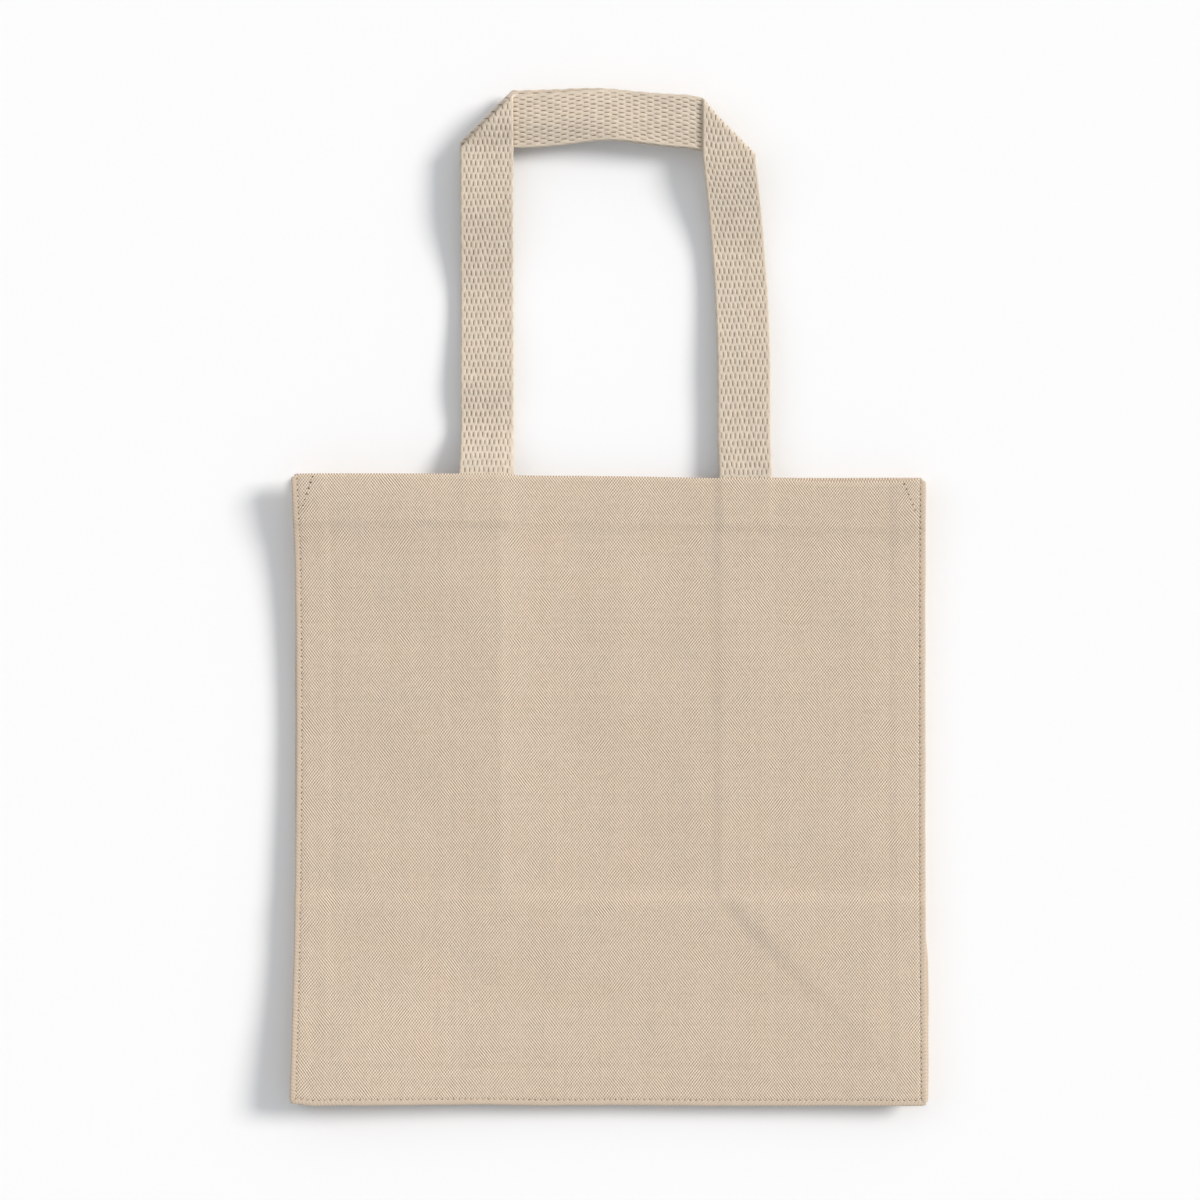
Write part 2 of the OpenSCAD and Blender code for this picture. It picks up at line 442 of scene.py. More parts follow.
# A seam in section: distance in from the panel's edge, and height from the panel's face. Two folds of
# cloth, the panel's above the gusset's, pinched together by the stitches.
SEAM_SECTION = [
    (2.85, -0.28), (2.5, -0.01), (2.0, 0.01), (1.35, 0.02), (0.75, -0.02), (0.3, -0.24), (0.05, -0.6),
    (0.02, -1.0), (0.2, -1.38), (0.62, -1.62), (0.24, -1.88), (0.06, -2.3), (0.16, -2.78), (0.55, -3.18),
    (1.2, -3.42), (1.95, -3.42), (2.45, -3.2), (2.72, -2.9), (3.0, -3.2), (3.5, -3.3), (3.8, -2.9),
    (3.8, -1.6), (3.3, -0.95),
]


SEAM_RING = 0.69


def seam_tube(shell, place, length, seed):
    """A seam swept along its length, puckered by its stitches. place(t, inset) gives x and y."""
    section = np.array(SEAM_SECTION)
    rings = int(length / SEAM_RING)
    t = np.linspace(0, 1, rings)[:, None]
    run = t * length
    inset, height = section[None, :, 0], section[None, :, 1]
    pinch = 0.5 + 0.5 * np.cos(2 * np.pi * run / STITCH_PITCH)
    long_wave = ripples(run, run * 0 + seed * 31.0, 23, seed)
    short_wave = ripples(run, run * 0, 7, seed + 50)
    wave = long_wave * 0.16 + short_wave * 0.05
    outer = np.clip(1 - inset / 2.0, 0, 1)
    groove = np.exp(-(((inset - STITCH_IN) / 0.9) ** 2))
    middle_z = -SEAM_W / 2
    swell = 1 - pinch * 0.03 - 0.04 * groove * pinch
    z = middle_z + (height - middle_z) * swell
    a = inset + outer * (0.05 * pinch + 0.6 * wave) + 0 * run
    z = z + wave * 0.5 * outer
    x, y = place(t, a)
    points = np.stack([x, y, TOP + z], axis=2).reshape(-1, 3)
    columns = section.shape[0]
    girth = np.concatenate([[0], np.cumsum(np.hypot(*np.diff(section, axis=0).T))])
    uv = np.stack([girth[None, :] + 0 * run, run + 0 * a], axis=2).reshape(-1, 2)
    faces = tube_faces(rings, columns)
    a0, b0, c0 = (points[v] for v in faces[0][:3])
    core = points[:columns].mean(axis=0)
    if np.dot(np.cross(b0 - a0, c0 - a0), a0 - core) < 0:
        faces = [face[::-1] for face in faces]
    shell.add(points, uv, faces)


def soft_corner(x, y):
    """Rounds the panel's lower corners a little."""
    size = 2.6
    near_x = np.clip(1 - (HALF_W - np.abs(x)) / size, 0, 1)
    near_y = np.clip(1 - (y - BASE) / size, 0, 1)
    pull = 0.55 * near_x * near_y
    return x - np.sign(x) * pull, y + pull


def side_seam_shell(sign, seed):
    """A side seam, from the mouth, where its end is slanted, down to the base."""
    def place(t, a):
        top = MOUTH - 0.3 - 1.7 * np.clip(1 - a / 3.6, 0, 1) ** 1.6
        y = top + t * (BASE + a - top)
        return soft_corner(sign * (HALF_W - a) + 0 * t, y)

    shell = Shell()
    seam_tube(shell, place, MOUTH - BASE, seed)
    return shell


def base_seam_shell(seed):
    """The base seam, from one lower corner to the other."""
    def place(t, a):
        reach = HALF_W - a
        return soft_corner(-reach + t * 2 * reach, BASE + a + 0 * t)

    shell = Shell()
    seam_tube(shell, place, 2 * HALF_W, seed)
    return shell


# ------ the gusset, as the front half of the stack

def gusset_height(inward):
    """How far a side half lies from the middle of the stack, by its distance in from the seam's axis."""
    flat = MID_Z - SIDE_Z
    tuck_under = 0.75 * step(-inward, 0.6, 2.6)
    pinch = step(inward, FOLD_L - 7, 13)
    return (flat + tuck_under) * (1 - pinch) + 0.5 * pinch


def gusset_places(first, last):
    """Places across the gusset, from first to last, closer together at both ends."""
    places = spaced(min(first, last), max(first, last), 2.6, 0.8, 2.4)
    return places if first < last else places[::-1]


def side_sheet(shell, sign, parts):
    """Part of a side gusset. parts lists (half, from, to), with half 1 for the front and -1 for the
    back, and distances in from the seam's axis. Two halves meet in the crease."""
    inward, height = [], []
    for half, first, last in parts:
        s = gusset_places(first, last)
        inward.append(s)
        height.append(half * gusset_height(s))
    if len(parts) == 2:
        bend = np.radians(np.linspace(-70, 70, 7) if parts[0][0] < 0 else np.linspace(70, -70, 7))
        inward.insert(1, FOLD_L + 0.5 * np.cos(bend))
        height.insert(1, 0.5 * np.sin(bend))
    inward, height = np.concatenate(inward), np.concatenate(height)
    v = np.concatenate([np.linspace(0, 0.9, 92), np.linspace(0.905, 1, 20)])
    low = SEAM_Y + np.clip(inward, 0, FOLD_L) - 0.2
    y = low[:, None] + v[None, :] * (MOUTH - 0.4 - low)[:, None]
    x = sign * (-SEAM_X + inward)[:, None] + 0 * y
    z = MID_Z + height[:, None] + 0 * y
    middle = np.stack([x, y, z], axis=2)
    lengths = np.concatenate([[0], np.cumsum(np.hypot(np.diff(inward), np.diff(height)))])
    uv = np.stack([lengths[:, None] + 0 * y, y], axis=2)
    hem = CLOTH * step(y, HEM_Y, 0.9)
    normal = np.cross(np.gradient(middle, axis=0), np.gradient(middle, axis=1))
    toward_middle = (normal[..., 2] * np.sign(height[:, None] + 1e-9))[3, 3] < 0
    inside, outside = CLOTH / 2 + hem, CLOTH / 2 + 0 * y
    above, below = (outside, inside) if toward_middle else (inside, outside)
    cloth_solid(shell, middle, uv, above, below)


def base_height(inward, across):
    """The same for the base, which also dips to meet its tucks at the two ends."""
    flat = MID_Z - BASE_Z
    at_seam = (MID_Z - SIDE_Z - flat) * (1 - step(inward, 6, 13)) + 0.75 * step(-inward, 0.6, 2.6)
    at_end = 0.3 * (1 - step(SEAM_X - np.abs(across), 4, 8))
    pinch = step(inward, FOLD_L - 4, 8)
    return (flat + at_seam + at_end) * (1 - pinch) + 0.42 * pinch


def base_sheet(shell, parts):
    """Part of the base gusset, with parts as for a side."""
    pieces = [(half, gusset_places(first, last)) for half, first, last in parts]
    across = spaced(-SEAM_X + 0.3, SEAM_X - 0.3, 3.0, 0.8, 2.4)
    inward = np.concatenate([s for _, s in pieces])
    heights = [half * base_height(s[:, None], across[None, :]) for half, s in pieces]
    height = np.concatenate(heights)
    if len(parts) == 2:
        bend = np.radians(np.linspace(-70, 70, 5) * -parts[0][0])
        cut = len(pieces[0][1])
        inward = np.insert(inward, cut, FOLD_L + 0.4 * np.cos(bend))
        arc = np.repeat(0.42 * np.sin(bend)[:, None], len(across), axis=1)
        height = np.concatenate([height[:cut], arc, height[cut:]])
    y = SEAM_Y + inward[:, None] + 0 * height
    x = across[None, :] + 0 * height
    middle = np.stack([x, y, MID_Z + height], axis=2)
    mean_height = height.mean(axis=1)
    lengths = np.concatenate([[0], np.cumsum(np.hypot(np.diff(inward), np.diff(mean_height)))])
    uv = np.stack([x, lengths[:, None] + 0 * y], axis=2)
    cloth_solid(shell, middle, uv, CLOTH / 2, CLOTH / 2)


def tuck_shell(sign):
    """The triangle folded back along the cut end of a side half."""
    shell = Shell()
    u = np.linspace(0, 0.985, 40)[:, None]
    v = np.linspace(0, 1, 26)[None, :]
    x = -SEAM_X + FOLD_L * u + 0 * v
    y = SEAM_Y + FOLD_L * u + 0.1 + v * ((FOLD_L - 0.5) * (1 - u))
    at_seam = 1 - step(x + SEAM_X, 4, 8)
    at_slant = 1 - step(v * (1 - u) * FOLD_L, 1.5, 3)
    z = TOP - TUCK_Z - 0.3 * at_seam + 0.3 * at_slant
    middle = np.stack([sign * x, y, z + 0 * x], axis=2)
    cloth_solid(shell, middle, np.stack([x, y], axis=2), CLOTH / 2, CLOTH / 2, up=(0, 0, 1))
    return shell


# ------ stitches

STITCH_SEED = 11
STITCH_L = STITCH_PITCH * 0.72
THREAD_SIDES = 6
HOLE_SIDES = 8
# A stitch's thread: places along it, as a share of its length, and its depth there.
THREAD_ALONG = np.array([-0.5, -0.36, -0.12, 0.12, 0.36, 0.5])
THREAD_DEPTH = np.array([0.5, 0.14, 0.0, 0.0, 0.14, 0.5])


def circle(count):
    """Angles evenly round a circle."""
    return np.arange(count) * 2 * np.pi / count


def thread_loop(centre, forward, across, sink, radius, sunk):
    """Points and texture map of one stitch, which dives into the cloth at both ends."""
    angles = circle(THREAD_SIDES)
    depth = sunk + THREAD_DEPTH
    line = centre + THREAD_ALONG[:, None] * STITCH_L * forward + depth[:, None] * sink
    ring = np.cos(angles)[:, None] * across - np.sin(angles)[:, None] * sink
    points = (line[:, None, :] + radius * ring[None]).reshape(-1, 3)
    along = np.repeat(THREAD_ALONG * STITCH_L, THREAD_SIDES)
    around = np.tile(angles * radius, len(THREAD_ALONG))
    return points, np.stack([along, around], axis=1)


def hole_shade_cup(middle, forward, across, sink, radius):
    """Points of a needle hole's dark disc of painted shade: its middle, above and below the cloth's face,
    and its rim.
    """
    angles = circle(HOLE_SIDES)
    rim = middle + radius * (np.cos(angles)[:, None] * forward + np.sin(angles)[:, None] * across)
    return np.concatenate([[middle - 0.05 * sink, middle + 0.3 * sink], rim])


def stitch_rows(shell, rows, radius=0.24, hole=0.43, sunk=0.0):
    """Rows of stitches. A row is (start, end, sink), sink being the way into the cloth. hole is the radius
    of the needle holes, small discs of painted shade, or 0, and sunk is how much deeper than the row the
    thread lies."""
    tube = tube_faces(len(THREAD_ALONG), THREAD_SIDES)
    rim = [(2 + j, 2 + (j + 1) % HOLE_SIDES) for j in range(HOLE_SIDES)]
    cup = [(0, b, a) for a, b in rim] + [(1, a, b) for a, b in rim]
    rng = np.random.default_rng(STITCH_SEED)
    for start, end, sink in rows:
        start, end, sink = (np.array(p, float) for p in (start, end, sink))
        run = end - start
        count = max(1, round(np.linalg.norm(run) / STITCH_PITCH))
        forward = run / np.linalg.norm(run)
        across = np.cross(sink, forward)
        for i in range(count):
            centre = start + run * (i + 0.5) / count + across * rng.uniform(-0.06, 0.06)
            points, uv = thread_loop(centre, forward, across, sink, radius, sunk)
            shell.add(points, uv + rng.uniform(0, 30), tube)
            # A needle hole is a dark disc in the second slot: painted shade where the hole lies.
            if hole:
                size = hole * rng.uniform(0.65, 1.1)
                points = hole_shade_cup(start + run * i / count, forward, across, sink, size)
                shell.add(points, np.zeros((HOLE_SIDES + 2, 2)), cup, slot=1)


def seam_stitch_shell():
    """The row along the sides and base, on the panel's face and on the gusset's side of the seam."""
    shell = Shell()
    x, y = HALF_W - STITCH_IN, BASE + STITCH_IN
    for z, sink in ((TOP - 0.18, (0, 0, -1)), (TOP - 3.3, (0, 0, 1))):
        rows = [
            ((-x, MOUTH - 2.4, z), (-x, y + 1.2, z), sink),
            ((-x, y, z), (x, y, z), sink),
            ((x, y + 1.2, z), (x, MOUTH - 2.4, z), sink),
        ]
        stitch_rows(shell, rows)
    return shell


def corner_stitch_shell():
    """The slanted rows at the panel's two top corners."""
    shell = Shell()
    z = TOP + 0.10
    top_x = HALF_W - 10.5
    low_x = HALF_W - STITCH_IN - CORNER_ROW_IN
    rows = [((s * top_x, MOUTH - 1.4, z), (s * low_x, MOUTH - CORNER_ROW_LOW, z), (0, 0, -1))
            for s in (-1, 1)]
    stitch_rows(shell, rows, radius=0.2, hole=0.45, sunk=0.22)
    return shell


def hem_stitch_shell():
    """The hem's row, across the panel."""
    shell = Shell()
    y = HEM_Y + STITCH_IN
    z = TOP - 0.1
    reach = HALF_W - 4
    stitch_rows(shell, [((-reach, y, z), (reach, y, z), (0, 0, -1))], radius=0.2, hole=0)
    return shell


# ------ the webbing handles

# The webbing's warp threads: pitch, repeat, radius and rise. BEND is a diagonal fold's radius.
WARP = 1.11
FLOAT = 6.76
WARP_R = 0.95
WARP_RISE = 0.32
BEND = 0.98
STRAP_RING = 0.46


def weave_height(s, t, phase=0.0):
    """Height of the webbing's face. The warp threads ride over and under the weft in a brick pattern."""
    column = np.round(t / WARP)
    off = np.abs(t - column * WARP)
    parity = np.mod(column, 2) * 0.5
    rise = WARP_RISE * np.cos(2 * np.pi * (s / FLOAT + parity + phase))
    here = rise + np.sqrt(np.clip(WARP_R**2 - off**2, 0, None))
    there = -rise + np.sqrt(np.clip(WARP_R**2 - (WARP - off) ** 2, 0, None))
    return np.maximum(here, there) - 1.05


def strap_surface(s, t):
    """Middle of the webbing and its normal, at s along its length from the left strap end and t across it.
    Each leg turns into the cross-piece over a small bend on a 45 degree line."""
    leg = FOLD_Y - HEM_Y
    nearer = s - leg < FOLD_GAP / 2
    half_bend = BEND * np.pi / 2
    out = np.zeros(s.shape + (3,))
    normal = np.zeros(s.shape + (3,))
    for use, fold_x, u, inward in (
        (nearer, LEFT_FOLD, s - leg, 1),
        (~nearer, RIGHT_FOLD, leg + FOLD_GAP - s, -1),
    ):
        up, cross = np.array([0.0, 1.0]), np.array([inward, 0.0])
        along, over = (up + cross) / math.sqrt(2), (up - cross) / math.sqrt(2)
        g, d = (u + t) / math.sqrt(2), (u - t) / math.sqrt(2)
        angle = np.clip((d + half_bend) / BEND, 0, np.pi)
        reach = np.minimum(d, -half_bend) + BEND * np.sin(angle) - np.maximum(d - half_bend, 0)
        plane = g[..., None] * along + reach[..., None] * over + np.array([fold_x, FOLD_Y])
        height = LEG_Z - BEND * (1 - np.cos(angle))
        point = np.concatenate([plane, height[..., None]], axis=-1)
        face = np.concatenate([np.sin(angle)[..., None] * over, np.cos(angle)[..., None]], axis=-1)
        out[use], normal[use] = point[use], face[use]
    return out, normal


def lean(points):
    """In the plane: the right leg's lean, and the bow and slope of the webbing across the top."""
    x, y, z = np.moveaxis(points, -1, 0)
    right = step(x, 0, 60)
    down = np.clip((FOLD_Y - 15.5 - y) / 110, 0, 1)
    sway = 7.3 * np.sin(np.pi / 2 * down) + 0.7 * (1 - step(y, MOUTH + 10, 20))
    outward = np.clip(-(x - LEFT_FOLD) / STRAP_W + 0.5, 0, 1)
    flare = -0.5 * outward * (1 - step(y, MOUTH + 4, 8))
    shift = right * sway + (1 - right) * (-0.8 + flare)
    crossing = step(y, FOLD_Y - 33, 38)
    bow = np.exp(-((x / 24) ** 2))
    slope = 0.2 * x / 58 + 3.0 * step(x, 45, 18)
    dy = crossing * (3.2 * bow - 1.65 - slope)
    off = y - FOLD_Y
    tilt = crossing * np.exp(-(((x - 5) / 21) ** 2))
    return np.stack([x + shift, y + dy - 0.037 * tilt * off, z - 0.2 * tilt * off], axis=-1)


def lift_front(points):
    """Height of the front handle's parts over the surface."""
    x, y, z = np.moveaxis(points, -1, 0)
    left = knots(y, [(MOUTH, 0), (MOUTH + 24, -6.2), (MOUTH + 46, -4.0), (MOUTH + 84, -6.0),
                     (MOUTH + 136, 1.4), (FOLD_Y - 16, 1.2), (FOLD_Y, 5.2)])
    right = knots(y, [(MOUTH, 0), (MOUTH + 40, -1.8), (MOUTH + 104, -4.2),
                      (FOLD_Y - 14, 5.0), (FOLD_Y, 6.0)])
    mix = step(x, 20, 80)
    return np.stack([x, y, z + (1 - mix) * left + mix * right], axis=-1)


def lift_back(points):
    """The back handle lies on the surface, and rises to the front one at the top, a little up and to
    its left."""
    x, y, z = np.moveaxis(points, -1, 0)
    up = step(y, MOUTH + 105, 110)
    low = 0.3 + 0.2 * ripples(x, y, 70, 21) + up * (4.8 + 1.2 * step(x, 20, 80))
    left = 1 - step(x, -10, 60)
    return np.stack([x - 0.6 * up * left, y + 2.6 * up * left, z + np.maximum(low, 0.15)], axis=-1)


def calm(s, t):
    """Share of the grains' height that is left, as the webbing is drawn tight over its diagonal bends."""
    leg = FOLD_Y - HEM_Y
    past_fold = (np.minimum(s - leg, leg + FOLD_GAP - s) - t) / math.sqrt(2)
    return 1 - 0.8 * np.exp(-((past_fold / 3.4) ** 2))


def ring_places(length):
    """Places of the rings of points along the webbing, twice as close where it bends."""
    places = np.arange(0.3, length - 0.3, STRAP_RING)
    leg = FOLD_Y - HEM_Y
    near_bend = np.minimum(np.abs(places - leg), np.abs(places - leg - FOLD_GAP)) < STRAP_W / 2 + 3
    return places[near_bend | (np.arange(len(places)) % 2 == 0)][:, None]


def strap_section(s, free):
    """Places across the webbing and heights from its middle: face, right edge, back, left edge. Also
    1 where a point is on the back, whose weave is half a repeat on."""
    half = STRAP_W / 2
    columns = np.arange(-11.33, 11.4, 1 / 3) * WARP
    face = columns[np.abs(columns) < half - 0.5][None, :]
    back = face[:, ::-1]
    thick = STRAP_END_T + (STRAP_T - STRAP_END_T) * free
    grain = (0.35 + 0.65 * free) * (1 - 0.7 * step(np.abs(face), half - 1.6, 1.2))
    face_h = thick / 2 - 0.17 + grain * calm(s, face) * weave_height(s, face)
    back_h = -(thick / 2 - 0.17 + grain * calm(s, back) * weave_height(s, back, 0.5))
    edge_wave = 0.10 * np.cos(2 * np.pi * s / FLOAT)
    rounded = np.array([[-0.22, 0, -0.22]])
    edge_h = thick * [[0.3, 0, -0.3]]
    t = np.concatenate([face + 0 * s, half + rounded + edge_wave,
                        back + 0 * s, -(half + rounded - edge_wave)], axis=1)
    h = np.concatenate([face_h, edge_h, back_h, -edge_h], axis=1)
    count = face.shape[1]
    return t, h, np.repeat([0.0, 0, 1, 0], [count, 3, count, 3])[None, :]


def strap_shell(side):
    """One strap with its rows of grains, from its left end inside the hem to its right one."""
    s = ring_places(STRAP_L)
    inside_hem = MOUTH - HEM_Y + 2.5
    free = step(s, inside_hem, 6) * step(STRAP_L - s, inside_hem, 6)
    t, h, on_back = strap_section(s, free)
    s_all = s + 0 * t
    centre, normal = strap_surface(s_all, t)
    centre[..., 2] += (STRAP_END_Z - LEG_Z) * (1 - free)
    points = lean(centre + normal * h[..., None])
    if side == "front":
        points = lift_front(points)
    else:
        turned = points * [1, 1, -1] + [0, 0, TOP]
        points = lift_back(turned) * [1, 1, -1] + [0, 0, TOP]
    uv = np.stack([s_all + on_back * FLOAT / 2, t], axis=2).reshape(-1, 2)
    shell = Shell()
    shell.add(points.reshape(-1, 3), uv, tube_faces(len(s), t.shape[1], flip=True))
    return shell


# ------ materials

class Nodes:
    """Short calls for building a material's nodes."""

    def __init__(self, name):
        self.material = bpy.data.materials.new(name)
        self.material.use_nodes = True
        self.tree = self.material.node_tree
        self.shader = self.tree.nodes["Principled BSDF"]

    def node(self, kind, inputs=(), output=0, **settings):
        """Adds a node, fills its inputs, given as (name or place, value), and returns an output."""
        made = self.tree.nodes.new("ShaderNode" + kind)
        for key, value in settings.items():
            setattr(made, key, value)
        for key, value in inputs:
            self.put(made.inputs[key], value)
        return made.outputs[output]

    def put(self, socket, value):
        if isinstance(value, bpy.types.NodeSocket):
            self.tree.links.new(value, socket)
        else:
            socket.default_value = value

    def math(self, operation, a, b=0.0, c=0.0):
        return self.node("Math", enumerate((a, b, c)), operation=operation)

    def times(self, a, b):
        return self.math("MULTIPLY", a, b)

    def plus(self, a, b):
        return self.math("ADD", a, b)

    def uv(self):
        """The texture map's two places, in millimetres."""
        layer = self.node("UVMap", uv_map="cloth")
        places = [self.node("SeparateXYZ", [(0, layer)], output) for output in (0, 1)]
        return [self.times(place, 1000) for place in places]

    def vector(self, x, y):
        return self.node("CombineXYZ", [(0, x), (1, y)])

    def noise(self, vector, scale=1.0, detail=2.0):
        """Noise centred on 0."""
        inputs = [("Vector", vector), ("Scale", scale), ("Detail", detail)]
        return self.math("SUBTRACT", self.node("TexNoise", inputs, "Fac"), 0.5)

    def cell(self, x, y):
        """A random number for each whole x and y, from -0.5 to 0.5."""
        place = self.vector(self.math("FLOOR", x), self.math("FLOOR", y))
        value = self.node("TexWhiteNoise", [("Vector", place)], "Value", noise_dimensions="2D")
        return self.math("SUBTRACT", value, 0.5)

    def ramp(self, value, low, high):
        """0 at the low value, 1 at the high one, and smooth between them."""
        inputs = [("Value", value), ("From Min", low), ("From Max", high)]
        return self.node("MapRange", inputs, interpolation_type="SMOOTHSTEP")

    def mix(self, factor, a, b):
        return self.node("Mix", [("Factor", factor), (6, a), (7, b)], 2, data_type="RGBA")

    def scaled(self, colour, factor):
        """A colour made lighter or darker by a factor."""
        return self.node("VectorMath", [(0, colour), ("Scale", factor)], operation="SCALE")

    def bump(self, height, distance, strength):
        inputs = [("Height", height), ("Distance", distance), ("Strength", strength)]
        self.put(self.shader.inputs["Normal"], self.node("Bump", inputs))

    def finish(self, colour, roughness, sheen=0.0):
        values = {"Base Color": colour, "Roughness": roughness, "Specular IOR Level": 0.25,
                  "Sheen Weight": sheen, "Sheen Roughness": 0.6}
        for name, value in values.items():
            self.put(self.shader.inputs[name], value)
        return self.material


def total(n, *terms):
    """Sum of (socket, weight) pairs."""
    out = 0.0
    for socket, weight in terms:
        out = n.math("MULTIPLY_ADD", socket, weight, out)
    return out


# The canvas's threads, and the materials' colours. A cloth drifts between its two.
WARP_PITCH = 0.67
WEFT_PITCH = 0.883
CANVAS_WARM = (0.603, 0.477, 0.356, 1)
CANVAS_COOL = (0.588, 0.484, 0.380, 1)
WEBBING_WARM = (0.682, 0.569, 0.440, 1)
WEBBING_COOL = (0.676, 0.584, 0.475, 1)
# Painted shade in the webbing's slits between its grains.
SLIT_SHADE_BROWN = (0.255, 0.188, 0.130, 1)
THREAD_PALE = (0.70, 0.575, 0.45)
# Painted shade for the needle holes.
HOLE_SHADE_BROWN = (0.20, 0.140, 0.092)
FLOOR_WHITE = (0.925, 0.922, 0.920)


def canvas_weave(n, x, y, uv):
    """The number of the warp and weft thread at a place, and the height of their weave."""
    wander = n.noise(uv, 0.16, 3.0)
    wander_2 = n.noise(n.vector(n.plus(x, 90.0), y), 0.16, 3.0)
    warp = n.math("DIVIDE", total(n, (wander, 0.5), (x, 1.0)), WARP_PITCH)
    weft = n.math("DIVIDE", total(n, (wander_2, 0.5), (y, 1.0)), WEFT_PITCH)
    falling = n.math("COSINE", n.times(n.plus(warp, weft), math.pi))
    rising = n.math("COSINE", n.times(n.math("SUBTRACT", warp, weft), math.pi))
    patch = n.noise(uv, 0.07, 2.0)
    even = n.math("MULTIPLY_ADD", patch, 1.7, 0.59)
    other = n.times(rising, n.math("SUBTRACT", 1.0, even))
    over = n.plus(n.times(falling, even), other)
    clear = n.math("MULTIPLY_ADD", n.noise(uv, 0.11, 2.0), 0.8, 1.0)
    return warp, weft, n.times(over, clear)


def canvas_material(name, contrast):
    """Natural cotton duck: a plain weave of uneven threads, with flecks and faint mottling. The weave's
    light crossings and dark valleys are painted highlight and shade of the threads' relief, besides its
    bump; contrast is how strongly this painted weave shows."""
    n = Nodes(name)
    x, y = n.uv()
    uv = n.vector(x, y)
    warp, weft, over = canvas_weave(n, x, y, uv)
    warp_thread = n.cell(n.plus(warp, 0.5), 0.0)
    weft_thread = n.cell(0.0, n.plus(weft, 0.5))
    warp_streak = n.noise(n.vector(n.times(warp, 0.9), n.times(y, 0.03)), 1.0, 1.0)
    weft_streak = n.noise(n.vector(n.times(x, 0.03), n.times(weft, 0.9)), 1.0, 1.0)
    fleck = n.cell(n.plus(warp, 0.5), n.plus(weft, 0.5))
    mottle = n.noise(uv, 0.09, 4.0)
    cloud = n.noise(uv, 0.022, 2.0)
    # The weave's height goes into the colour as painted shade in its valleys and painted highlight on its
    # crossings; flecks, threads, streaks, mottle and cloud are the cloth's own tone.
    light = total(n, (over, 0.62 * contrast), (fleck, 0.14 * contrast), (warp_thread, 0.03),
                  (weft_thread, 0.03), (warp_streak, 0.03), (weft_streak, 0.03), (mottle, 0.06),
                  (cloud, 0.05))
    tint = n.plus(n.times(n.noise(uv, 0.05, 3.0), 1.2), 0.5)
    base = n.mix(tint, CANVAS_WARM, CANVAS_COOL)
    colour = n.scaled(base, n.plus(light, 1.0))
    n.bump(total(n, (over, 0.5), (fleck, 0.12)), 0.00010, 0.6)
    rough = n.plus(n.times(fleck, 0.1), 0.9)
    return n.finish(colour, rough, sheen=0.12)


def webbing_weave(n, s, across):
    """The webbing's height, its warp thread's number, and how many repeats along it a place is."""
    jog = n.noise(n.vector(n.times(s, 0.45), n.times(across, 1.1)), 1.0, 1.0)
    t = n.math("MULTIPLY_ADD", jog, 0.42, across)
    column = n.math("ROUND", n.math("DIVIDE", t, WARP))
    off = n.math("ABSOLUTE", n.math("SUBTRACT", t, n.times(column, WARP)))
    parity = n.times(n.math("FLOORED_MODULO", column, 2.0), 0.5)
    stagger = n.times(n.cell(column, n.math("DIVIDE", s, 3 * FLOAT)), 0.10)
    turn = n.plus(n.math("DIVIDE", s, FLOAT), n.plus(parity, stagger))
    rise = n.times(n.math("COSINE", n.times(turn, 2 * math.pi)), 0.36)

    def arc(distance):
        inside = n.math("SUBTRACT", WARP_R**2, n.times(distance, distance))
        return n.math("SQRT", n.math("MAXIMUM", inside, 0.0))

    here = n.plus(rise, arc(off))
    there = n.math("SUBTRACT", arc(n.math("SUBTRACT", WARP, off)), rise)
    return n.math("MAXIMUM", here, there), column, turn


def webbing_material():
    """Cotton webbing: pale grains of twisted warp, with the narrow slits between them painted dark brown
    as shade.
    """
    n = Nodes("webbing")
    s, across = n.uv()
    uv = n.vector(s, across)
    height, column, turn = webbing_weave(n, s, across)
    # The slits are painted shade: where the weave's face is low, the colour goes to dark brown.
    out_of_slit_shade = n.ramp(n.math("MULTIPLY_ADD", n.noise(uv, 0.5, 1.0), 0.18, height), 0.62, 0.86)
    ply = n.noise(n.vector(n.times(s, 0.7), n.times(across, 4.0)), 1.0, 3.0)
    grain = n.cell(n.times(turn, 2.0), column)
    mottle = n.noise(uv, 0.12, 3.0)
    light = total(n, (ply, 0.42), (grain, 0.10), (mottle, 0.14))
    drift = n.math("MULTIPLY_ADD", n.noise(uv, 0.09, 2.0), 1.4, 0.5)
    tint = n.mix(drift, WEBBING_WARM, WEBBING_COOL)
    pale = n.scaled(tint, n.plus(light, 1.0))
    # The edge strips have no slits, so they get little of the painted shade.
    border = n.ramp(n.math("ABSOLUTE", across), STRAP_W / 2 - 1.9, STRAP_W / 2 - 1.1)
    paleness = n.math("MAXIMUM", out_of_slit_shade, n.times(border, 0.8))
    colour = n.mix(paleness, SLIT_SHADE_BROWN, pale)
    n.bump(total(n, (height, 0.6), (ply, 0.35)), 0.00035, 0.5)
    return n.finish(colour, 0.88, sheen=0.12)


def thread_material():
    """Cotton sewing thread, with its twist as slanted plies."""
    n = Nodes("thread")
    along, around = n.uv()
    twist = n.math("SINE", total(n, (along, 9.0), (around, 7.0)))
    fuzz = n.noise(n.vector(along, around), 2.2, 2.0)
    light = total(n, (twist, 0.07), (fuzz, 0.25))
    colour = n.scaled(THREAD_PALE, n.plus(light, 1.0))
    n.bump(twist, 0.00006, 0.5)
    return n.finish(colour, 0.8, sheen=0.1)


def needle_hole_shade_material():
    """Painted shade for the inside of a needle hole: dark brown, with frayed brown fibres."""
    n = Nodes("needle_hole_shade")
    position = n.node("NewGeometry", output="Position")
    fibre = n.noise(position, 2500.0, 2.0)
    colour = n.scaled(HOLE_SHADE_BROWN, n.plus(n.times(fibre, 0.6), 1.0))
    return n.finish(colour, 0.95)


